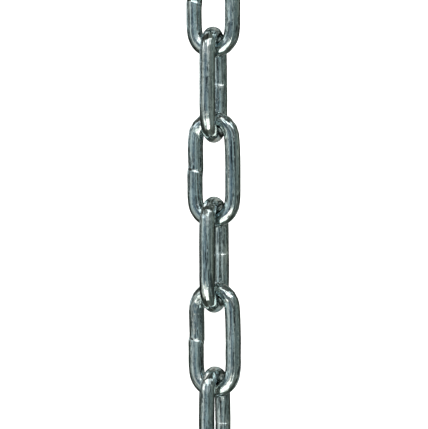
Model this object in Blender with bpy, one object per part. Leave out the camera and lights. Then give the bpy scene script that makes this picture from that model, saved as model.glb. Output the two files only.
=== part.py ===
"""A straight length of welded steel link chain, 6 mm wire by 33 mm pitch, lying on a level floor.

The chain runs along Y, with its first link at the +Y end. Neighbouring links lean about 45 degrees to
opposite sides, as the links of a straight chain do when each lies as low as it can. A slow twist along the
chain, which the play between the links allows, adds a few degrees to each lean. All lengths are in metres.
"""

import math

import bmesh
import bpy
from mathutils import Vector

# Driving dimensions of one link
WIRE_DIAMETER = 0.006
INNER_LENGTH = 0.033
OUTER_WIDTH = 0.0218
BOW_RADIUS = 0.0072

# Driving dimensions of the chain
LINK_COUNT = 30
CONTACT_GAP = 0.0003
LEAN = math.radians(45)
TWIST = math.radians(4)
TWIST_WAVE_LINKS = 14.5

# How finely a link is faceted
WIRE_SIDES = 8
BOW_FLATS = 7
LEG_FLATS = 3

# Finish
ZINC_COLOUR = (0.46, 0.51, 0.52, 1.0)
ZINC_ROUGHNESS = 0.28
SMOOTH_BELOW = math.radians(50)

# Sizes that follow from the driving dimensions
WIRE_RADIUS = WIRE_DIAMETER / 2
HALF_LENGTH = (INNER_LENGTH + WIRE_DIAMETER) / 2
HALF_WIDTH = (OUTER_WIDTH - WIRE_DIAMETER) / 2
BOW_CENTRE = HALF_LENGTH - BOW_RADIUS
LEG_RADIUS = (HALF_WIDTH**2 + BOW_CENTRE**2 - BOW_RADIUS**2) / (2 * (HALF_WIDTH - BOW_RADIUS))
LEG_HALF_ANGLE = math.atan2(BOW_CENTRE, LEG_RADIUS - HALF_WIDTH)
LINK_SPACING = INNER_LENGTH - CONTACT_GAP
PIVOT = INNER_LENGTH / 2 - WIRE_RADIUS - CONTACT_GAP

# The faceted section has the round wire's area, so its flats lie just inside the circle
SECTION_CORNER = WIRE_RADIUS * math.sqrt(2 * math.pi / (WIRE_SIDES * math.sin(2 * math.pi / WIRE_SIDES)))
SECTION_FLAT = SECTION_CORNER * math.cos(math.pi / WIRE_SIDES)


def clear_scene():
    for obj in list(bpy.data.objects):
        bpy.data.objects.remove(obj, do_unlink=True)


def zinc_steel(name):
    """Bright zinc-plated steel."""
    material = bpy.data.materials.new(name)
    material.use_nodes = True
    shader = material.node_tree.nodes["Principled BSDF"]
    shader.inputs["Base Color"].default_value = ZINC_COLOUR
    shader.inputs["Metallic"].default_value = 1.0
    shader.inputs["Roughness"].default_value = ZINC_ROUGHNESS
    return material


def flat_directions():
    """The way each flat of the oval faces, once round from the middle of the +X leg, as angles from +X."""
    leg_step = 2 * LEG_HALF_ANGLE / LEG_FLATS
    bow_step = (math.pi - 2 * LEG_HALF_ANGLE) / BOW_FLATS
    directions = []
    for half_turn in (0.0, math.pi):
        for flat in range(LEG_FLATS):
            directions.append(half_turn - LEG_HALF_ANGLE + leg_step * (flat + 0.5))
        for flat in range(BOW_FLATS):
            directions.append(half_turn + LEG_HALF_ANGLE + bow_step * (flat + 0.5))
    return directions


def oval_distance(direction):
    """How far from the link's centre the straight line lies that touches the wire's oval facing this way.

    The oval has two long arcs for the legs and two short ones for the bows, each running on into the next.
    """
    across = math.cos(direction)
    along = math.sin(direction)
    if abs(along) > math.sin(LEG_HALF_ANGLE):
        return BOW_CENTRE * abs(along) + BOW_RADIUS
    return LEG_RADIUS - (LEG_RADIUS - HALF_WIDTH) * abs(across)


def corner_between(first, second):
    """The point where the lines touching the oval in two directions cross."""
    first_distance = oval_distance(first)
    second_distance = oval_distance(second)
    turn = math.sin(second - first)
    x = (first_distance * math.sin(second) - second_distance * math.sin(first)) / turn
    y = (second_distance * math.cos(first) - first_distance * math.cos(second)) / turn
    return Vector((x, y, 0.0))


def on_lower_leg(direction):
    return math.cos(direction) < -math.cos(LEG_HALF_ANGLE)


def add_ring(mesh, corner, first, second, section_roll):
    """One ring of the wire's section, mitred where two straight stretches of wire meet."""
    facing = (first + second) / 2
    outward = Vector((math.cos(facing), math.sin(facing), 0.0)) / math.cos((second - first) / 2)
    ring = []
    for side in range(WIRE_SIDES):
        angle = section_roll + 2 * math.pi * (side + 0.5) / WIRE_SIDES
        across = outward * (SECTION_CORNER * math.cos(angle))
        up = Vector((0.0, 0.0, SECTION_CORNER * math.sin(angle)))
        ring.append(mesh.verts.new(corner + across + up))
    return ring


def link_mesh(name, lower_leg_roll):
    """A closed bar bent to the oval, with its origin on the wire of the link before it.

    Its section is rolled along the lower leg, the one at -X, so that one flat lies level on the floor.
    """
    directions = flat_directions()
    to_pivot = Vector((0.0, -PIVOT, 0.0))
    mesh = bmesh.new()
    rings = []
    for index, second in enumerate(directions):
        first = directions[index - 1]
        if index == 0:
            first -= 2 * math.pi
        roll = lower_leg_roll if on_lower_leg(first) or on_lower_leg(second) else 0.0
        rings.append(add_ring(mesh, corner_between(first, second) + to_pivot, first, second, roll))
    for index, ring in enumerate(rings):
        following = rings[(index + 1) % len(rings)]
        for side in range(WIRE_SIDES):
            beside = (side + 1) % WIRE_SIDES
            mesh.faces.new((ring[side], ring[beside], following[beside], following[side]))
    bmesh.ops.recalc_face_normals(mesh, faces=mesh.faces)
    data = bpy.data.meshes.new(name)
    mesh.to_mesh(data)
    mesh.free()
    data.shade_smooth()
    data.set_sharp_from_angle(angle=SMOOTH_BELOW)
    return data


def twist_at(number):
    """The small turn that a link takes beyond its even lean, slowly changing along the chain."""
    from_middle = number - (LINK_COUNT + 1) / 2
    return TWIST * math.sin(2 * math.pi * from_middle / TWIST_WAVE_LINKS)


def lean_of(number):
    """The angle from the floor to a link's own +X, which points to its upper leg."""
    is_odd = number % 2 == 1
    return (LEAN if is_odd else math.pi - LEAN) + twist_at(number)


def chain_height():
    """The height of the chain's middle line, with the steepest links resting on the floor."""
    steepest = max(math.sin(lean_of(number)) for number in range(1, LINK_COUNT + 1))
    return HALF_WIDTH * steepest + SECTION_FLAT


def make_link(number, before):
    """A link that hangs on the one before it, turned about the chain's middle line to its own lean."""
    name = f"link_{number:02d}"
    data = link_mesh(name, twist_at(number))
    data.materials.append(zinc_steel(name))
    link = bpy.data.objects.new(name, data)
    bpy.context.scene.collection.objects.link(link)
    if before is None:
        first_centre = LINK_SPACING * (LINK_COUNT - 1) / 2
        link.location = (0.0, first_centre + PIVOT, chain_height())
        link.rotation_euler = (0.0, -lean_of(number), 0.0)
    else:
        link.parent = before
        link.location = (0.0, -LINK_SPACING, 0.0)
        link.rotation_euler = (0.0, lean_of(number - 1) - lean_of(number), 0.0)
    return link


def make_chain():
    link = None
    for number in range(1, LINK_COUNT + 1):
        link = make_link(number, link)


clear_scene()
make_chain()
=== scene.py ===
"""A straight length of bright zinc-plated welded link chain on a white studio floor.

Every link is a round steel wire bent to an oval and butt welded in the middle of its lower leg. The links
take their places and their lean from the CAD frame. All lengths are in metres unless a name says otherwise.
"""

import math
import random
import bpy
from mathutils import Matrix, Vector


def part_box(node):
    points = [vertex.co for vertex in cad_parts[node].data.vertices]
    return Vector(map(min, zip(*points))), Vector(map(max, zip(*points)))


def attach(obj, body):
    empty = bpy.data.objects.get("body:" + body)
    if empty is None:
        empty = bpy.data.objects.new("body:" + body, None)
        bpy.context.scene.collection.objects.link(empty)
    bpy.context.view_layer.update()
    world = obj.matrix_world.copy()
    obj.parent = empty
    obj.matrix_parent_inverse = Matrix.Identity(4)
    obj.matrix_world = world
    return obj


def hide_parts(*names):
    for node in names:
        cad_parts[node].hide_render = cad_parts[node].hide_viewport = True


bl_info = {
    "name": "Welded Link Chain",
    "version": (1, 0, 0),
    "blender": (4, 5, 0),
    "location": "3D View > Sidebar > Chain",
    "description": "Builds the links of a straight zinc-plated chain, and the studio it lies in",
    "category": "Object",
}

from typing import NamedTuple

import bpy
import numpy as np
from bpy.props import FloatProperty, FloatVectorProperty, IntProperty, PointerProperty
from mathutils import Matrix, Vector

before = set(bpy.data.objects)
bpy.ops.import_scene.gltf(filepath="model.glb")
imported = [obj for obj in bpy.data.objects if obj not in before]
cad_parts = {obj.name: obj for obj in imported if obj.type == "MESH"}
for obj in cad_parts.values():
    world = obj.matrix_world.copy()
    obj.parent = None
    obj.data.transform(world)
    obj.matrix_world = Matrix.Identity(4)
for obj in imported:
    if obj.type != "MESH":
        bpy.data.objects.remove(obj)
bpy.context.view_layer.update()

MM = 0.001
FULL_TURN = 2 * math.pi
ZINC_NAME = "bright_zinc"
PLACE_ATTRIBUTE = "wire_place"
# The marks also carry the masks for painted shade on the shoulders and in the weld's notch
MARKS_ATTRIBUTE = "wire_marks"


# Settings


class ChainLinkSettings(bpy.types.PropertyGroup):
    """The shape of one link."""

    wire_radius: FloatProperty(
        name="Wire Radius",
        description="Half the thickness of the wire in the legs",
        default=2.99 * MM,
        unit="LENGTH",
        precision=5,
    )
    half_length: FloatProperty(
        name="Half Length",
        description="From the link's centre to the wire's middle line at a bow",
        default=19.5 * MM,
        unit="LENGTH",
        precision=5,
    )
    half_width: FloatProperty(
        name="Half Width",
        description="From the link's centre to the wire's middle line at a leg",
        default=7.752 * MM,
        unit="LENGTH",
        precision=5,
    )
    bow_radius: FloatProperty(
        name="Bow Radius",
        description="Radius of the wire's middle line round a bow",
        default=7.2 * MM,
        unit="LENGTH",
        precision=5,
    )
    closed_shoulder: FloatProperty(
        name="Closed Shoulder",
        description="How far the wire stands outward where the legs run into the bow closed last",
        default=0.12 * MM,
        unit="LENGTH",
        precision=5,
    )
    first_shoulder: FloatProperty(
        name="First Shoulder",
        description="How far the wire stands outward where the legs run into the bow bent first",
        default=0.28 * MM,
        unit="LENGTH",
        precision=5,
    )
    bow_swell: FloatProperty(
        name="Bow Swell",
        description="How much thicker the wire is on the inside of a bow",
        default=0.05 * MM,
        unit="LENGTH",
        precision=5,
    )
    wander: FloatProperty(
        name="Wander",
        description="How far the wire's middle line strays from the oval",
        default=0.03 * MM,
        unit="LENGTH",
        precision=5,
    )
    unevenness: FloatProperty(
        name="Unevenness",
        description="How much the wire's surface rises and falls",
        default=0.012 * MM,
        unit="LENGTH",
        precision=5,
    )
    lump_height: FloatProperty(
        name="Lump Height",
        description="How much the closing tool left the surface of a bow rising and falling",
        default=0.12 * MM,
        unit="LENGTH",
        precision=5,
    )
    sides: IntProperty(
        name="Sides",
        description="Number of faces round the wire",
        default=44,
        min=8,
    )
    ring_spacing: FloatProperty(
        name="Ring Spacing",
        description="Distance between the rings of faces along the wire",
        default=0.45 * MM,
        unit="LENGTH",
        precision=5,
    )


class ChainWeldSettings(bpy.types.PropertyGroup):
    """The weld in the lower leg of a link."""

    slant: FloatProperty(
        name="Slant",
        description="How far the seam leans in the plane of the link",
        default=math.radians(-15),
        subtype="ANGLE",
    )
    side_slant: FloatProperty(
        name="Side Slant",
        description="How far the seam leans across the plane of the link",
        default=math.radians(8),
        subtype="ANGLE",
    )
    notch_depth: FloatProperty(
        name="Notch Depth",
        description="Depth of the notch along the seam",
        default=0.12 * MM,
        unit="LENGTH",
        precision=5,
    )
    notch_width: FloatProperty(
        name="Notch Width",
        description="Half the width of the notch along the seam",
        default=0.26 * MM,
        unit="LENGTH",
        precision=5,
    )
    ridge_height: FloatProperty(
        name="Ridge Height",
        description="Height of the ridge on the other side of the seam",
        default=0.05 * MM,
        unit="LENGTH",
        precision=5,
    )
    ridge_width: FloatProperty(
        name="Ridge Width",
        description="Half the width of the ridge",
        default=0.3 * MM,
        unit="LENGTH",
        precision=5,
    )
    step: FloatProperty(
        name="Step",
        description="How far one half of the welded leg lies inward of the other half at the seam",
        default=0.24 * MM,
        unit="LENGTH",
        precision=5,
    )
    sink: FloatProperty(
        name="Sink",
        description="How far that half of the welded leg lies below the link's face at the seam",
        default=0.42 * MM,
        unit="LENGTH",
        precision=5,
    )
    step_reach: FloatProperty(
        name="Step Reach",
        description="How far from the seam the half that is set back is in line with the leg again",
        default=14 * MM,
        unit="LENGTH",
        precision=5,
    )
    ring_spacing: FloatProperty(
        name="Ring Spacing",
        description="Distance between the rings of faces at the seam",
        default=0.1 * MM,
        unit="LENGTH",
        precision=5,
    )


class ChainFinishSettings(bpy.types.PropertyGroup):
    """The zinc plating."""

    cool_tint: FloatVectorProperty(
        name="Cool Tint",
        description="Colour of most of the plating",
        subtype="COLOR",
        default=(0.57, 0.69, 0.73),
        min=0,
        max=1,
    )
    pale_tint: FloatVectorProperty(
        name="Pale Tint",
        description="Colour of the paler streaks",
        subtype="COLOR",
        default=(0.84, 0.88, 0.86),
        min=0,
        max=1,
    )
    warm_tint: FloatVectorProperty(
        name="Warm Tint",
        description="Colour of the faint warm bloom round the bows",
        subtype="COLOR",
        default=(0.74, 0.66, 0.62),
        min=0,
        max=1,
    )
    roughness: FloatProperty(
        name="Roughness",
        description="Roughness of the smoothest plating",
        default=0.05,
        min=0,
        max=1,
        subtype="FACTOR",
    )


class ChainStageSettings(bpy.types.PropertyGroup):
    """The floor, the light and the camera."""

    camera_elevation: FloatProperty(
        name="Camera Elevation",
        description="How far above the floor the camera stands, seen from the chain",
        default=math.radians(65.2),
        subtype="ANGLE",
    )
    camera_distance: FloatProperty(
        name="Camera Distance",
        description="From the camera to the middle of the view",
        default=0.9175,
        unit="LENGTH",
    )
    lens: FloatProperty(
        name="Lens",
        description="Focal length in millimetres",
        default=200,
        min=10,
        unit="CAMERA",
    )
    aim: FloatVectorProperty(
        name="Aim",
        description="The point the camera looks at",
        subtype="TRANSLATION",
        unit="LENGTH",
        default=(0.0, -0.0009, 0.0089),
        precision=5,
    )
    camera_roll: FloatProperty(
        name="Camera Roll",
        description="How far the camera is turned about its line of sight",
        default=math.radians(-0.25),
        subtype="ANGLE",
    )
    floor_size: FloatProperty(
        name="Floor Size",
        description="Length of a side of the floor",
        default=40,
        unit="LENGTH",
    )
    floor_light: FloatProperty(
        name="Floor Light",
        description="Strength of the even light that whitens the floor",
        default=4.2,
    )


# The links

# Fixed details of the weld
SEAM_JITTER = 0.1 * MM
SEAM_JITTER_TURNS = 3
SEAM_SCATTER = 0.25 * MM
SEAM_TILT_REACH = 5 * MM
NOTCH_OFFSET = 0.5 * MM
RIDGE_OFFSET = 0.4 * MM
NECK_DEPTH = 0.06 * MM
NECK_REACH = 3 * MM
# The width of the painted shade in the weld's notch
NOTCH_SHADE_WIDTH = 0.25 * MM
HEAT_REACH = 4.5 * MM

# Fixed details of the bows, the closed one at +Y and the one bent first at -Y
SHOULDER_PLACE = 10.5 * MM
CLOSED_SHOULDER_REACH = 4 * MM
FIRST_SHOULDER_REACH = 4.5 * MM
# How much of the painted shade on the shoulders' outer side the closed bow gets, against 1 for the bow bent
# first
CLOSED_BOW_RIM_SHADE = 0.85
BOW_EDGE_STEEPNESS = 2.5
FIRST_BOW_LUMPS = 0.2
LONGEST_LUMP = 4.2 * MM
SHORTEST_LUMP = 2.2 * MM
LUMP_TURNS = (-4, -3, -2, -1, 1, 2, 3, 4)

# How many gentle waves fit along a link's wire, and how often they may turn round it
GENTLE_COUNTS = (2, 16)
GENTLE_TURNS = (0, 1, 2, 3)

# The farthest that a link's own part of the finish's patterns may lie from their middle, in millimetres
PATTERN_SPREAD = 100

# The stretch of a CAD link, to either side of its middle, in which its legs are looked for
LEG_STRETCH = 6 * MM


class LinkKind(NamedTuple):
    """What sets the links that lean one way apart from those that lean the other way.

    One half of the welded leg is set back from the other. It is the half at +Y where set_back_side is 1, and
    the half at -Y where it is -1. The seam lies seam_place from the leg's middle towards +Y, and the step
    between the halves takes up about four times step_width. The shares scale what the weld's settings give.
    The last value scales the painted shade, a dark reflection painted on the shoulders' outer side.
    """

    set_back_side: int
    seam_place: float
    step_width: float
    step_share: float
    sink_share: float
    notch_share: float
    # Scales the painted shade, a dark reflection painted on the outer side of the shoulders
    rim_shade: float


# The links seen face on get more of the painted shade on their shoulders than those seen edge on
FACE_ON_LINK = LinkKind(
    set_back_side=1,
    seam_place=-0.75 * MM,
    step_width=0.36 * MM,
    step_share=1.0,
    sink_share=1.0,
    notch_share=1.0,
    rim_shade=1.0,
)
EDGE_ON_LINK = LinkKind(
    set_back_side=-1,
    seam_place=0.9 * MM,
    step_width=0.22 * MM,
    step_share=1.5,
    sink_share=0.5,
    notch_share=0.35,
    rim_shade=0.6,
)


def leg_radius(shape):
    """The radius of a leg's middle line, so that it runs smoothly into the bows."""
    bow_centre = shape.half_length - shape.bow_radius
    rise = shape.half_width**2 + bow_centre**2 - shape.bow_radius**2
    return rise / (2 * (shape.half_width - shape.bow_radius))


def leg_half_angle(shape):
    bow_centre = shape.half_length - shape.bow_radius
    return math.atan2(bow_centre, leg_radius(shape) - shape.half_width)


def leg_length(shape):
    return 2 * leg_radius(shape) * leg_half_angle(shape)


def bow_length(shape):
    return shape.bow_radius * (math.pi - 2 * leg_half_angle(shape))


def wire_length(shape):
    return 2 * (leg_length(shape) + bow_length(shape))


def wire_line(shape, places):
    """The wire's middle line and the way it faces outward, at distances along it.

    The distances are measured from the middle of the lower leg, which is at -X. They grow towards -Y there
    and on round the link.
    """
    leg = leg_length(shape)
    bow = bow_length(shape)
    turn = leg_half_angle(shape)
    ends = np.cumsum([0, leg / 2, bow, leg, bow, leg / 2])
    angles = [math.pi, math.pi + turn, FULL_TURN - turn, FULL_TURN + turn, 3 * math.pi - turn, 3 * math.pi]
    facing = np.interp(places % wire_length(shape), ends, angles)
    across = np.cos(facing)
    along = np.sin(facing)
    on_bow = np.abs(along) > math.sin(turn)
    radius = np.where(on_bow, shape.bow_radius, leg_radius(shape))
    centre_x = np.where(on_bow, 0.0, np.sign(across) * (shape.half_width - leg_radius(shape)))
    centre_y = np.where(on_bow, np.sign(along) * (shape.half_length - shape.bow_radius), 0.0)
    middle = np.stack([centre_x + radius * across, centre_y + radius * along, 0 * across], axis=-1)
    outward = np.stack([across, along, 0 * across], axis=-1)
    return middle, outward


def ring_places(shape, weld):
    """Distances from the seam to each ring of the wire, close together at the seam."""
    dense_end = 1.2 * MM
    sparse_start = 5 * MM
    widening = shape.ring_spacing - weld.ring_spacing
    half = wire_length(shape) / 2
    places = [0.0]
    while places[-1] < half:
        away = min(1.0, max(0.0, (places[-1] - dense_end) / (sparse_start - dense_end)))
        places.append(places[-1] + weld.ring_spacing + widening * away)
    scale = half / places[-1]
    one_side = [place * scale for place in places[1:]]
    return np.array([-place for place in reversed(one_side)] + [0.0] + one_side[:-1])


def ripple(places, around, length, chance, waves, counts=GENTLE_COUNTS, turns=GENTLE_TURNS):
    """A seamless rise and fall over the wire's surface, from -1 to 1, made of some waves.

    Each wave fits a whole number of times along the wire, within a range of counts, and may turn round it.
    """
    total = np.zeros(np.broadcast(places, around).shape)
    for _ in range(waves):
        count = chance.randint(*counts)
        turn = chance.choice(turns)
        phase = chance.uniform(0, FULL_TURN)
        total += np.cos(FULL_TURN * count * places / length + turn * around + phase)
    return total / waves


def bump_at(distance, width):
    """A smooth hump, 1 at no distance and fading over a width."""
    return np.exp(-((distance / width) ** 2))


def side_share(towards):
    """1 on the side of the wire where towards is 1, and a fifth on the other side, where it is -1."""
    return 0.6 + 0.4 * towards


def bow_lumps(along, places, around, length, chance):
    """The uneven surface that the closing tool left on the bow at +Y, from -1 to 1, and less of it at -Y."""
    closed_bow = np.clip(BOW_EDGE_STEEPNESS * along, 0, 1)
    first_bow = FIRST_BOW_LUMPS * np.clip(-BOW_EDGE_STEEPNESS * along, 0, 1)
    counts = (round(length / LONGEST_LUMP), round(length / SHORTEST_LUMP))
    lumps = ripple(places, around, length, chance, waves=5, counts=counts, turns=LUMP_TURNS)
    return lumps * (closed_bow + first_bow) * side_share(np.cos(around))


class WeldRelief(NamedTuple):
    """The weld's forms at each point of the wire, and how much the point is set back, from 0 to 1."""

    ridge: np.ndarray
    notch: np.ndarray
    neck: np.ndarray
    # A mask for painted shade in the notch, not a form of the wire
    notch_shade: np.ndarray
    set_back: np.ndarray


def weld_relief(weld, kind, from_seam, around, length, chance):
    """A seam with a ridge on one side, and a notch and a narrower neck on the side that is set back."""
    jitter = SEAM_JITTER * ripple(from_seam, around * SEAM_JITTER_TURNS, length, chance, waves=4)
    edge = kind.set_back_side * (from_seam + jitter)
    notch_share = kind.notch_share * side_share(-np.cos(around))
    behind_edge = 1 / (1 + np.exp(edge / kind.step_width))
    fading = np.clip(1 + kind.set_back_side * from_seam / weld.step_reach, 0, 1)
    return WeldRelief(
        ridge=weld.ridge_height * kind.notch_share * bump_at(edge - RIDGE_OFFSET, weld.ridge_width),
        notch=weld.notch_depth * notch_share * bump_at(edge + NOTCH_OFFSET, weld.notch_width),
        neck=NECK_DEPTH * bump_at(from_seam, NECK_REACH) * behind_edge,
        # Painted shade in the notch, as strong as the notch's share for this kind of link
        notch_shade=kind.notch_share * bump_at(edge + NOTCH_OFFSET, NOTCH_SHADE_WIDTH),
        set_back=behind_edge * fading**2 * (3 - 2 * fading),
    )


def link_surface(shape, weld, kind, seam_place, chance):
    """Points on one link's wire, ring by ring, and the marks that the finish follows at each.

    The marks are how much of a bow the place is, above 0 at +Y and below 0 at -Y, the heat of the weld, a
    mask for painted shade in the weld's notch, and a mask for painted shade, a dark reflection painted on
    the shoulders' outer side.
    """
    length = wire_length(shape)
    from_seam = ring_places(shape, weld)[:, None]
    around = (np.arange(shape.sides) * FULL_TURN / shape.sides)[None, :]
    seam_tilt = math.tan(weld.slant) * np.cos(around) - math.tan(weld.side_slant) * np.sin(around)
    slanted = from_seam + shape.wire_radius * seam_tilt * bump_at(from_seam, SEAM_TILT_REACH)
    places = slanted - seam_place
    middle, outward = wire_line(shape, places)
    along = outward[..., 1]
    bend = along**2

    seam = weld_relief(weld, kind, from_seam, around, length, chance)
    radius = shape.wire_radius + shape.bow_swell * bend + seam.ridge - seam.notch - seam.neck
    radius = radius + shape.unevenness * ripple(places, around, length, chance, waves=9)
    radius = radius + shape.lump_height * (bow_lumps(along, places, around, length, chance) - bend)

    stray_out = shape.wander * ripple(places, 0 * around, length, chance, waves=3)
    stray_up = shape.wander * ripple(places, 0 * around, length, chance, waves=3)
    closed_shoulder = shape.closed_shoulder * bump_at(middle[..., 1] - SHOULDER_PLACE, CLOSED_SHOULDER_REACH)
    first_shoulder = shape.first_shoulder * bump_at(middle[..., 1] + SHOULDER_PLACE, FIRST_SHOULDER_REACH)
    shoulders = closed_shoulder + first_shoulder
    inward = weld.step * kind.step_share * seam.set_back
    shift_out = stray_out + shoulders - inward - shape.bow_swell * bend
    shift_up = stray_up - weld.sink * kind.sink_share * seam.set_back
    normal = np.array([0.0, 0.0, 1.0])
    points = (
        middle
        + outward * (shift_out + radius * np.cos(around))[..., None]
        + normal * (shift_up + radius * np.sin(around))[..., None]
    )

    signed_bend = bend * np.sign(along)
    heat = bump_at(from_seam, HEAT_REACH)
    # A mask for painted shade: a dark reflection painted on the outer side of the shoulders, a little less
    # at the closed bow and more on the links seen face on
    shoulder_rim_shade = 4 * bend * (1 - bend) * np.where(signed_bend > 0, CLOSED_BOW_RIM_SHADE, 1)
    rim_shade = kind.rim_shade * shoulder_rim_shade * np.clip(np.cos(around), 0, 1)
    marks = np.stack(np.broadcast_arrays(signed_bend, heat, seam.notch_shade, rim_shade), axis=-1)
    return points, from_seam, around, marks


def wire_faces(rings, sides):
    """Four-sided faces between each ring and the next, and from the last ring back to the first."""
    ring = np.arange(rings)[:, None]
    side = np.arange(sides)[None, :]
    next_ring = (ring + 1) % rings
    next_side = (side + 1) % sides
    corners = [
        ring * sides + side,
        next_ring * sides + side,
        next_ring * sides + next_side,
        ring * sides + next_side,
    ]
    return np.stack(corners, axis=-1).reshape(-1, 4)


def place_values(shape, from_seam, around, offset):
    """Where each point lies on the wire, in millimetres: across its section, then round the wire's loop.

    The last two values run round a circle as long as the wire, so that a pattern drawn from all four meets
    itself. Each link has its own offset, so that no two show the same pattern.
    """
    length = wire_length(shape)
    radius = shape.wire_radius / MM
    loop_radius = length / FULL_TURN / MM
    loop_angle = FULL_TURN * from_seam / length
    values = (
        radius * np.cos(around) + offset[0],
        radius * np.sin(around) + offset[1],
        loop_radius * np.cos(loop_angle) + offset[2],
        loop_radius * np.sin(loop_angle) + offset[3],
    )
    return np.stack(np.broadcast_arrays(*values), axis=-1)


def link_mesh(name, shape, weld, kind, chance):
    """One link about its own centre, with its upper leg at +X, and with the values that its finish reads."""
    seam_place = kind.seam_place + chance.uniform(-SEAM_SCATTER, SEAM_SCATTER)
    points, from_seam, around, marks = link_surface(shape, weld, kind, seam_place, chance)
    rings, sides, _ = points.shape
    mesh = bpy.data.meshes.new(name)
    mesh.from_pydata(points.reshape(-1, 3).tolist(), [], wire_faces(rings, sides).tolist())
    mesh.shade_smooth()
    offset = [chance.uniform(-PATTERN_SPREAD, PATTERN_SPREAD) for _ in range(4)]
    place = mesh.attributes.new(PLACE_ATTRIBUTE, "FLOAT_COLOR", "POINT")
    place.data.foreach_set("color", place_values(shape, from_seam, around, offset).ravel())
    mark = mesh.attributes.new(MARKS_ATTRIBUTE, "FLOAT_COLOR", "POINT")
    mark.data.foreach_set("color", marks.ravel())
    return mesh


def link_matrix(node):
    """Puts a link's own X across to its upper leg, and its Y along the chain, where the CAD link lies."""
    low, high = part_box(node)
    centre = (low + high) / 2
    points = [vertex.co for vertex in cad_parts[node].data.vertices]
    upper = [point for point in points if abs(point.y - centre.y) < LEG_STRETCH and point.z > centre.z]
    upper_leg = sum(upper, Vector()) / len(upper)
    across = Vector((upper_leg.x - centre.x, 0.0, upper_leg.z - centre.z)).normalized()
    along = Vector((0.0, 1.0, 0.0))
    turn = Matrix((across, along, across.cross(along))).transposed()
    return Matrix.Translation(centre) @ turn.to_4x4()


def make_link(node, number, shape, weld):
    """The dressed link that replaces a CAD link. The camera sees odd ones face on, and even ones edge on."""
    chance = random.Random(f"chain {node}")
    kind = FACE_ON_LINK if number % 2 == 1 else EDGE_ON_LINK
    mesh = link_mesh(f"chain_{node}", shape, weld, kind, chance)
    mesh.transform(link_matrix(node))
    mesh.materials.append(bpy.data.materials[ZINC_NAME])
    piece = bpy.data.objects.new(f"chain_{node}", mesh)
    bpy.context.scene.collection.objects.link(piece)
    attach(piece, node)
    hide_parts(node)


# The finish

# Tints of the marks in the plating, of the shade painted on it, and of its mirror image at a grazing angle
HAIRLINE_TINT = (0.06, 0.08, 0.09)
PIT_TINT = (0.17, 0.21, 0.22)
RUBBED_TINT = (0.88, 0.92, 0.91)
STROKE_TINT = (0.06, 0.07, 0.065)
# Painted shade: a dark reflection painted on the shoulders' outer side
RIM_SHADE_TINT = (0.1, 0.12, 0.09)
# Painted shade in the weld's notch
NOTCH_SHADE_TINT = (0.05, 0.055, 0.05)
GRAZING_TINT = (0.45, 0.5, 0.5)


class Pattern(NamedTuple):
    """A noise over the wire, of a scale per millimetre. A stretch below 1 draws it out along the wire."""

    stretch: float
    scale: float
    detail: float = 2.0
    roughness: float = 0.5


BROAD_STREAKS = Pattern(stretch=0.03, scale=0.5, detail=1.0)
FINE_STREAKS = Pattern(stretch=0.05, scale=1.7, roughness=0.6)
DIE_MARKS = Pattern(stretch=0.03, scale=1.1, detail=1.0)
WAVES = Pattern(stretch=0.3, scale=0.9)
MOTTLE = Pattern(stretch=1.0, scale=0.45)
SPECKLE = Pattern(stretch=0.5, scale=1.5, roughness=0.6)
SCUFFS = Pattern(stretch=0.5, scale=0.6, detail=1.5)
STROKES = Pattern(stretch=0.2, scale=0.9, detail=1.5)
SCRATCHES = Pattern(stretch=0.16, scale=1.3, roughness=0.6)


class NodeBench:
    """Short ways to add nodes to a tree and to join them."""

    def __init__(self, tree):
        self.tree = tree

    def add(self, kind, **settings):
        node = self.tree.nodes.new(kind)
        for name, value in settings.items():
            setattr(node, name, value)
        return node

    def join(self, source, target):
        self.tree.links.new(source, target)

    def put(self, value, socket):
        """Joins a socket, or sets a plain value."""
        if isinstance(value, bpy.types.NodeSocket):
            self.join(value, socket)
        else:
            socket.default_value = value

    def math(self, operation, first, second=0.0, third=0.0):
        node = self.add("ShaderNodeMath", operation=operation)
        for value, socket in zip((first, second, third), node.inputs):
            self.put(value, socket)
        return node.outputs[0]

    def vector_math(self, operation, first, second):
        node = self.add("ShaderNodeVectorMath", operation=operation)
        self.put(first, node.inputs[0])
        self.put(second, node.inputs[1])
        return node.outputs["Value" if operation == "DOT_PRODUCT" else "Vector"]

    def spread(self, value, low, high, new_low=0.0, new_high=1.0):
        """Turns the range from low to high smoothly into another range."""
        node = self.add("ShaderNodeMapRange", interpolation_type="SMOOTHSTEP")
        for socket, number in zip(node.inputs, (value, low, high, new_low, new_high)):
            self.put(number, socket)
        return node.outputs[0]

    def mix(self, share, first, second, label=""):
        node = self.add("ShaderNodeMix", data_type="RGBA", label=label)
        self.put(share, node.inputs["Factor"])
        for value, name in ((first, "A"), (second, "B")):
            socket = next(s for s in node.inputs if s.name == name and s.type == "RGBA")
            self.put(value if isinstance(value, bpy.types.NodeSocket) else (*value[:3], 1.0), socket)
        return next(s for s in node.outputs if s.type == "RGBA")

    def wire_noise(self, place, pattern):
        """Noise over the wire. It takes all four values of a place, so it has no seam."""
        stretched = self.vector_math("MULTIPLY", place.outputs["Color"], (1.0, 1.0, pattern.stretch))
        node = self.add("ShaderNodeTexNoise", noise_dimensions="4D")
        self.join(stretched, node.inputs["Vector"])
        self.join(self.math("MULTIPLY", place.outputs["Alpha"], pattern.stretch), node.inputs["W"])
        node.inputs["Scale"].default_value = pattern.scale
        node.inputs["Detail"].default_value = pattern.detail
        node.inputs["Roughness"].default_value = pattern.roughness
        return node.outputs[0]

    def bump(self, height, distance, below=None):
        node = self.add("ShaderNodeBump")
        node.inputs["Strength"].default_value = 1.0
        node.inputs["Distance"].default_value = distance
        self.join(height, node.inputs["Height"])
        if below is not None:
            self.join(below, node.inputs["Normal"])
        return node.outputs[0]


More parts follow.
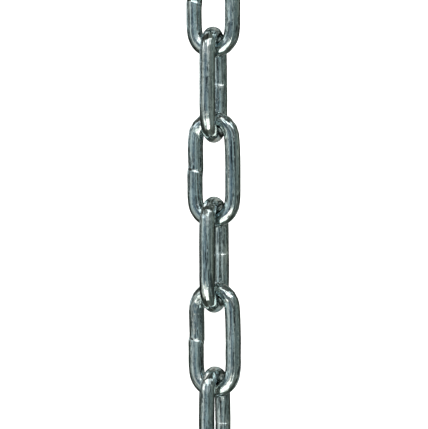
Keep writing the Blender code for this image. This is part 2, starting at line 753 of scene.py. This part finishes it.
class Plating:
    """The marks that each link carries and the patterns over its wire, for colour, gloss and relief."""

    def __init__(self, bench):
        marks = bench.add("ShaderNodeAttribute", attribute_name=MARKS_ATTRIBUTE)
        split = bench.add("ShaderNodeSeparateXYZ")
        bench.join(marks.outputs["Color"], split.inputs[0])
        # The third mark is a mask for painted shade in the weld's notch
        signed_bend, self.heat, self.notch_shade = split.outputs
        self.bend = bench.math("ABSOLUTE", signed_bend)
        self.closed_bow = bench.spread(signed_bend, 0.0, 0.3)
        # A mask for painted shade, a dark reflection on the shoulders' outer side
        self.rim_shade = marks.outputs["Alpha"]

        place = bench.add("ShaderNodeAttribute", attribute_name=PLACE_ATTRIBUTE)
        self.broad_streaks = bench.wire_noise(place, BROAD_STREAKS)
        self.fine_streaks = bench.wire_noise(place, FINE_STREAKS)
        self.waves = bench.wire_noise(place, WAVES)
        self.mottle = bench.wire_noise(place, MOTTLE)
        self.speckle = bench.wire_noise(place, SPECKLE)
        self.scuffs = bench.wire_noise(place, SCUFFS)
        self.strokes = bench.wire_noise(place, STROKES)
        self.scratches = bench.wire_noise(place, SCRATCHES)
        self.trimmed = bench.math("MULTIPLY", self.heat, bench.spread(self.scratches, 0.5, 0.6))

        # Hairlines where the die marks cross their middle value, broken here and there and faint on the bows
        from_middle = bench.math("SUBTRACT", bench.wire_noise(place, DIE_MARKS), 0.5)
        line = bench.spread(bench.math("ABSOLUTE", from_middle), 0.05, 0.02)
        off_bows = bench.spread(self.bend, 0.1, 0.45, 1.0, 0.1)
        unbroken = bench.math("MULTIPLY", bench.spread(self.waves, 0.36, 0.48), off_bows)
        self.hairlines = bench.math("MULTIPLY", line, unbroken)


def zinc_colour(bench, plating, finish):
    """The plain zinc with each kind of mark laid over those before it."""
    # Besides marks of the zinc, the layers paint shade on the shoulders' outer side and in the weld's notch
    half_broad = bench.math("MULTIPLY", plating.broad_streaks, 0.5)
    streaks = bench.math("MULTIPLY_ADD", plating.fine_streaks, 0.5, half_broad)
    bloom_reach = bench.math("MULTIPLY_ADD", plating.bend, 0.7, 0.15)
    stroke_share = bench.spread(plating.strokes, 0.46, 0.4, 0.0, 0.6)
    # Patches of the painted shade on the shoulders and in the weld's notch
    rim_shade_patches = bench.spread(plating.mottle, 0.35, 0.65, 0.85, 0.5)
    notch_shade_patches = bench.spread(plating.mottle, 0.4, 0.6, 0.15, 0.75)
    layers = (
        (bench.spread(streaks, 0.42, 0.62), finish.pale_tint),
        (bench.math("MULTIPLY", bench.spread(plating.mottle, 0.45, 0.7), bloom_reach), finish.warm_tint),
        (bench.math("MULTIPLY", plating.hairlines, 0.92), HAIRLINE_TINT),
        (bench.spread(plating.speckle, 0.45, 0.33, 0.0, 0.6), PIT_TINT),
        (bench.spread(plating.speckle, 0.55, 0.67, 0.0, 0.9), RUBBED_TINT),
        (bench.math("MULTIPLY", plating.trimmed, 0.8), RUBBED_TINT),
        (bench.math("MULTIPLY", stroke_share, plating.closed_bow), STROKE_TINT),
        # Painted shade, a dark reflection, on the shoulders' outer side
        (bench.math("MULTIPLY", bench.spread(plating.rim_shade, 0.55, 0.95), rim_shade_patches), RIM_SHADE_TINT),
        # Painted shade in the weld's notch
        (bench.math("MULTIPLY", plating.notch_shade, notch_shade_patches), NOTCH_SHADE_TINT),
    )
    colour = finish.cool_tint
    for share, tint in layers:
        colour = bench.mix(share, colour, tint)
    return colour


def zinc_roughness(bench, plating, finish):
    """Nearly a mirror, a little duller in patches, on streaks and where the weld was trimmed."""
    patches = bench.math("MULTIPLY", bench.spread(plating.mottle, 0.35, 0.7), 0.03)
    streaks = bench.math("MULTIPLY", bench.spread(plating.fine_streaks, 0.4, 0.7), 0.02)
    duller = bench.math("ADD", bench.math("ADD", patches, streaks), finish.roughness)
    return bench.math("MULTIPLY_ADD", plating.trimmed, 0.08, duller)


def zinc_relief(bench, plating):
    """The fine rise and fall of the surface, each kind with its height."""
    scratch_share = bench.math("MULTIPLY_ADD", plating.heat, 0.4, 0.3)
    layers = (
        (plating.broad_streaks, 0.2 * MM),
        (bench.math("MULTIPLY", plating.hairlines, -1.0), 0.02 * MM),
        (plating.fine_streaks, 0.06 * MM),
        (plating.waves, 0.12 * MM),
        (bench.math("MULTIPLY", plating.closed_bow, plating.scuffs), 0.45 * MM),
        (plating.speckle, 0.05 * MM),
        (bench.math("MULTIPLY", plating.scratches, scratch_share), 0.15 * MM),
    )
    relief = None
    for pattern, height in layers:
        relief = bench.bump(pattern, height, relief)
    return relief


def make_zinc(finish):
    """Bright zinc on drawn wire: streaks, a faint mottle, a warm bloom at the bows and trimmed welds."""
    # The finish also paints shade on the shoulders' outer side and in the weld's notch
    material = bpy.data.materials.new(ZINC_NAME)
    material.use_nodes = True
    bench = NodeBench(material.node_tree)
    plating = Plating(bench)
    shader = material.node_tree.nodes["Principled BSDF"]
    shader.inputs["Metallic"].default_value = 1.0
    shader.inputs["Specular Tint"].default_value = (*GRAZING_TINT, 1.0)
    bench.join(zinc_colour(bench, plating, finish), shader.inputs["Base Color"])
    bench.join(zinc_roughness(bench, plating, finish), shader.inputs["Roughness"])
    bench.join(zinc_relief(bench, plating), shader.inputs["Normal"])


# The stage

# The floor and its light
FLOOR_TINT = (0.9, 0.9, 0.9, 1.0)
FLOOR_DROP = 0.2 * MM
FLOOR_LIGHT_SPREAD = math.radians(20)

# The camera
SENSOR_WIDTH_MM = 36
NEAREST_SEEN = 0.05


class View:
    """The picture's own directions in the room: to its right, up it, and out of it towards the camera."""

    def __init__(self, stage):
        rise = stage.camera_elevation
        self.right = Vector((math.sin(rise), 0.0, math.cos(rise)))
        self.up = Vector((0.0, 1.0, 0.0))
        self.out = Vector((-math.cos(rise), 0.0, math.sin(rise)))

    def towards(self, turn_deg, tilt_deg):
        """A direction turned from the camera to the picture's right, then tilted up the picture."""
        turn = math.radians(turn_deg)
        tilt = math.radians(tilt_deg)
        level = self.right * math.sin(turn) + self.out * math.cos(turn)
        return level * math.cos(tilt) + self.up * math.sin(tilt)


# The tone of the walls that the metal mirrors, at turns in degrees from the camera to the picture's right
WALL_TONES = (
    (-180, (0.03, 0.04, 0.03)),
    (-126, (0.04, 0.05, 0.04)),
    (-106, (0.11, 0.13, 0.12)),
    (-91, (0.26, 0.29, 0.27)),
    (-78, (0.56, 0.61, 0.58)),
    (-65, (0.62, 0.69, 0.67)),
    (-52, (0.45, 0.53, 0.53)),
    (-40, (0.24, 0.30, 0.33)),
    (-28, (0.11, 0.16, 0.19)),
    (-17, (0.10, 0.15, 0.18)),
    (-7, (0.24, 0.31, 0.32)),
    (5, (0.37, 0.45, 0.45)),
    (15, (0.33, 0.40, 0.39)),
    (27, (0.18, 0.22, 0.21)),
    (40, (0.12, 0.15, 0.14)),
    (54, (0.14, 0.175, 0.16)),
    (70, (0.21, 0.25, 0.23)),
    (88, (0.22, 0.26, 0.23)),
    (108, (0.20, 0.24, 0.20)),
    (126, (0.06, 0.075, 0.06)),
    (142, (0.01, 0.012, 0.01)),
)


class Cap(NamedTuple):
    """A cap of one tone over the walls.

    It starts at one tilt up the picture and is full at another, both in degrees.
    """

    name: str
    start: float
    full: float
    tone: tuple


CAPS = (
    Cap("ceiling", 25, 39, (0.12, 0.14, 0.13)),
    Cap("ground", -21, -35, (0.11, 0.13, 0.11)),
)


class Panel(NamedTuple):
    """A panel of one tone with soft edges, as seen from the chain. Its angles are in degrees.

    Its turn is from the camera to the picture's right, and its tilt up the picture.
    """

    name: str
    turn: float
    tilt: float
    half_width: float
    half_height: float
    edge: float
    tone: tuple


PANELS = (
    Panel("left_ceiling", -80, 58, 38, 24, 12, (0.07, 0.075, 0.065)),
    Panel("right_ceiling", 92, 57, 34, 15, 8, (0.1, 0.12, 0.105)),
    Panel("ground_left", -130, -42, 34, 37, 8, (0.045, 0.055, 0.045)),
    Panel("ground_right", 104, -27, 17, 28, 10, (0.06, 0.07, 0.06)),
    Panel("far_right_low", 152, -26, 28, 17, 10, (0.42, 0.45, 0.42)),
    Panel("far_left", -142, 11, 20, 9, 6, (0.9, 0.95, 0.95)),
    Panel("above_camera", 11, 19, 26, 9, 7, (0.52, 0.57, 0.57)),
    Panel("upper_left", -60, 24, 19, 7, 5, (1.3, 1.38, 1.4)),
    Panel("lower_left", -73, -24, 13, 14, 8, (0.46, 0.48, 0.44)),
    Panel("top_box_left", -6, 46, 23, 10, 6, (1.8, 1.9, 1.85)),
    Panel("top_box_right", 25, 39, 29, 9.5, 6, (1.9, 2.0, 1.95)),
    Panel("behind_above", 180, 36, 38, 18, 12, (0.5, 0.54, 0.51)),
    Panel("high_left", -128, 57, 9, 16, 6, (1.3, 1.35, 1.35)),
    Panel("foot_box_lip", -24, -14, 21, 4.5, 5, (0.6, 0.62, 0.57)),
    Panel("foot_box", -15, -31.5, 33, 14.5, 6, (1.9, 1.92, 1.75)),
    Panel("foot_box_end", -14, -51, 20, 12.5, 6, (1.9, 1.92, 1.75)),
)


def wall_tone(bench, direction, view):
    """The walls' tone where a direction meets them."""
    right = bench.vector_math("DOT_PRODUCT", direction, view.right)
    out = bench.vector_math("DOT_PRODUCT", direction, view.out)
    turn = bench.math("ARCTAN2", right, out)
    ramp = bench.add("ShaderNodeValToRGB")
    bench.join(bench.math("MULTIPLY_ADD", turn, 1 / FULL_TURN, 0.5), ramp.inputs["Fac"])
    stops = ramp.color_ramp.elements
    stops.remove(stops[0])
    for index, (degrees, tone) in enumerate(WALL_TONES):
        place = degrees / 360 + 0.5
        stop = stops[0] if index == 0 else stops.new(place)
        stop.position = place
        stop.color = (*tone, 1.0)
    return ramp.outputs["Color"]


def cap_share(bench, direction, view, cap):
    """1 where a cap is full, and 0 short of its start."""
    height = bench.vector_math("DOT_PRODUCT", direction, view.up)
    return bench.spread(height, math.sin(math.radians(cap.start)), math.sin(math.radians(cap.full)))


def panel_share(bench, direction, view, panel):
    """1 inside a panel, as seen from the chain, and 0 outside it."""
    centre = view.towards(panel.turn, panel.tilt)
    across = view.towards(panel.turn + 90, 0)
    along = across.cross(centre)
    shares = []
    for axis, half in ((across, panel.half_width), (along, panel.half_height)):
        off = bench.math("ABSOLUTE", bench.vector_math("DOT_PRODUCT", direction, axis))
        inner = math.sin(math.radians(max(0, half - panel.edge / 2)))
        outer = math.sin(math.radians(min(90, half + panel.edge / 2)))
        shares.append(bench.spread(off, inner, outer, 1.0, 0.0))
    in_front = bench.math("GREATER_THAN", bench.vector_math("DOT_PRODUCT", direction, centre), 0.0)
    return bench.math("MULTIPLY", bench.math("MULTIPLY", *shares), in_front)


def make_world(stage):
    """A room whose walls and soft panels the metal mirrors."""
    world = bpy.data.worlds.new("studio")
    world.use_nodes = True
    bpy.context.scene.world = world
    tree = world.node_tree
    bench = NodeBench(tree)
    background = next(node for node in tree.nodes if node.type == "BACKGROUND")
    direction = bench.add("ShaderNodeTexCoord").outputs["Generated"]
    view = View(stage)
    colour = wall_tone(bench, direction, view)
    for cap in CAPS:
        colour = bench.mix(cap_share(bench, direction, view, cap), colour, cap.tone, label=cap.name)
    for panel in PANELS:
        colour = bench.mix(panel_share(bench, direction, view, panel), colour, panel.tone, label=panel.name)
    bench.join(colour, background.inputs["Color"])


def make_floor(stage):
    """A large white floor, which the chain doesn't mirror."""
    half = stage.floor_size / 2
    corners = [(x, y, -FLOOR_DROP) for x, y in ((-half, -half), (half, -half), (half, half), (-half, half))]
    mesh = bpy.data.meshes.new("floor")
    mesh.from_pydata(corners, [], [(0, 1, 2, 3)])
    material = bpy.data.materials.new("white_floor")
    material.use_nodes = True
    shader = material.node_tree.nodes["Principled BSDF"]
    shader.inputs["Base Color"].default_value = FLOOR_TINT
    shader.inputs["Roughness"].default_value = 1.0
    shader.inputs["Specular IOR Level"].default_value = 0.0
    mesh.materials.append(material)
    floor = bpy.data.objects.new("floor", mesh)
    bpy.context.scene.collection.objects.link(floor)
    floor.visible_glossy = False


def make_floor_light(stage):
    """Even light from straight above that only the floor shows."""
    light = bpy.data.lights.new("floor_light", "SUN")
    light.energy = stage.floor_light
    light.angle = FLOOR_LIGHT_SPREAD
    light.use_shadow = False
    lamp = bpy.data.objects.new("floor_light", light)
    lamp.visible_glossy = False
    bpy.context.scene.collection.objects.link(lamp)


def make_camera(stage):
    """A long lens that looks down on the middle of the chain, with the chain upright in the picture."""
    view = View(stage)
    data = bpy.data.cameras.new("camera")
    data.lens = stage.lens
    data.sensor_width = SENSOR_WIDTH_MM
    data.clip_start = NEAREST_SEEN
    place = Matrix.Translation(Vector(stage.aim) + view.out * stage.camera_distance)
    turn = Matrix((view.right, view.up, view.out)).transposed().to_4x4()
    roll = Matrix.Rotation(stage.camera_roll, 4, "Z")
    camera = bpy.data.objects.new("camera", data)
    camera.matrix_world = place @ turn @ roll
    bpy.context.scene.collection.objects.link(camera)
    bpy.context.scene.camera = camera


# Operators and panel


class CHAIN_OT_zinc(bpy.types.Operator):
    """Makes the zinc plating that all links share"""

    bl_idname = "chain.zinc"
    bl_label = "Make Zinc Plating"

    def execute(self, context):
        make_zinc(context.scene.chain_finish)
        return {"FINISHED"}


class CHAIN_OT_links(bpy.types.Operator):
    """Builds every link of the chain in its place on the frame"""

    bl_idname = "chain.links"
    bl_label = "Build Links"

    def execute(self, context):
        if ZINC_NAME not in bpy.data.materials:
            raise RuntimeError("the zinc plating has to be made before the links")
        for number, node in enumerate(sorted(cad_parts), start=1):
            make_link(node, number, context.scene.chain_link, context.scene.chain_weld)
        return {"FINISHED"}


class CHAIN_OT_stage(bpy.types.Operator):
    """Sets up the white floor, the light, what the metal mirrors and the camera"""

    bl_idname = "chain.stage"
    bl_label = "Set Stage"

    def execute(self, context):
        stage = context.scene.chain_stage
        make_world(stage)
        make_floor(stage)
        make_floor_light(stage)
        make_camera(stage)
        context.scene.view_settings.view_transform = "Standard"
        return {"FINISHED"}


class CHAIN_PT_parts(bpy.types.Panel):
    """Lists the steps that build the chain"""

    bl_label = "Welded Link Chain"
    bl_idname = "CHAIN_PT_parts"
    bl_space_type = "VIEW_3D"
    bl_region_type = "UI"
    bl_category = "Chain"

    def draw(self, context):
        for operator in OPERATORS:
            self.layout.operator(operator.bl_idname)


SETTINGS = {
    "chain_link": ChainLinkSettings,
    "chain_weld": ChainWeldSettings,
    "chain_finish": ChainFinishSettings,
    "chain_stage": ChainStageSettings,
}
OPERATORS = (CHAIN_OT_zinc, CHAIN_OT_links, CHAIN_OT_stage)


def register():
    for name, group in SETTINGS.items():
        bpy.utils.register_class(group)
        setattr(bpy.types.Scene, name, PointerProperty(type=group))
    for operator in OPERATORS:
        bpy.utils.register_class(operator)
    bpy.utils.register_class(CHAIN_PT_parts)


def unregister():
    bpy.utils.unregister_class(CHAIN_PT_parts)
    for operator in reversed(OPERATORS):
        bpy.utils.unregister_class(operator)
    for name, group in reversed(SETTINGS.items()):
        delattr(bpy.types.Scene, name)
        bpy.utils.unregister_class(group)


def main():
    register()
    bpy.ops.chain.zinc()
    bpy.ops.chain.links()
    bpy.ops.chain.stage()


if __name__ == "__main__":
    main()
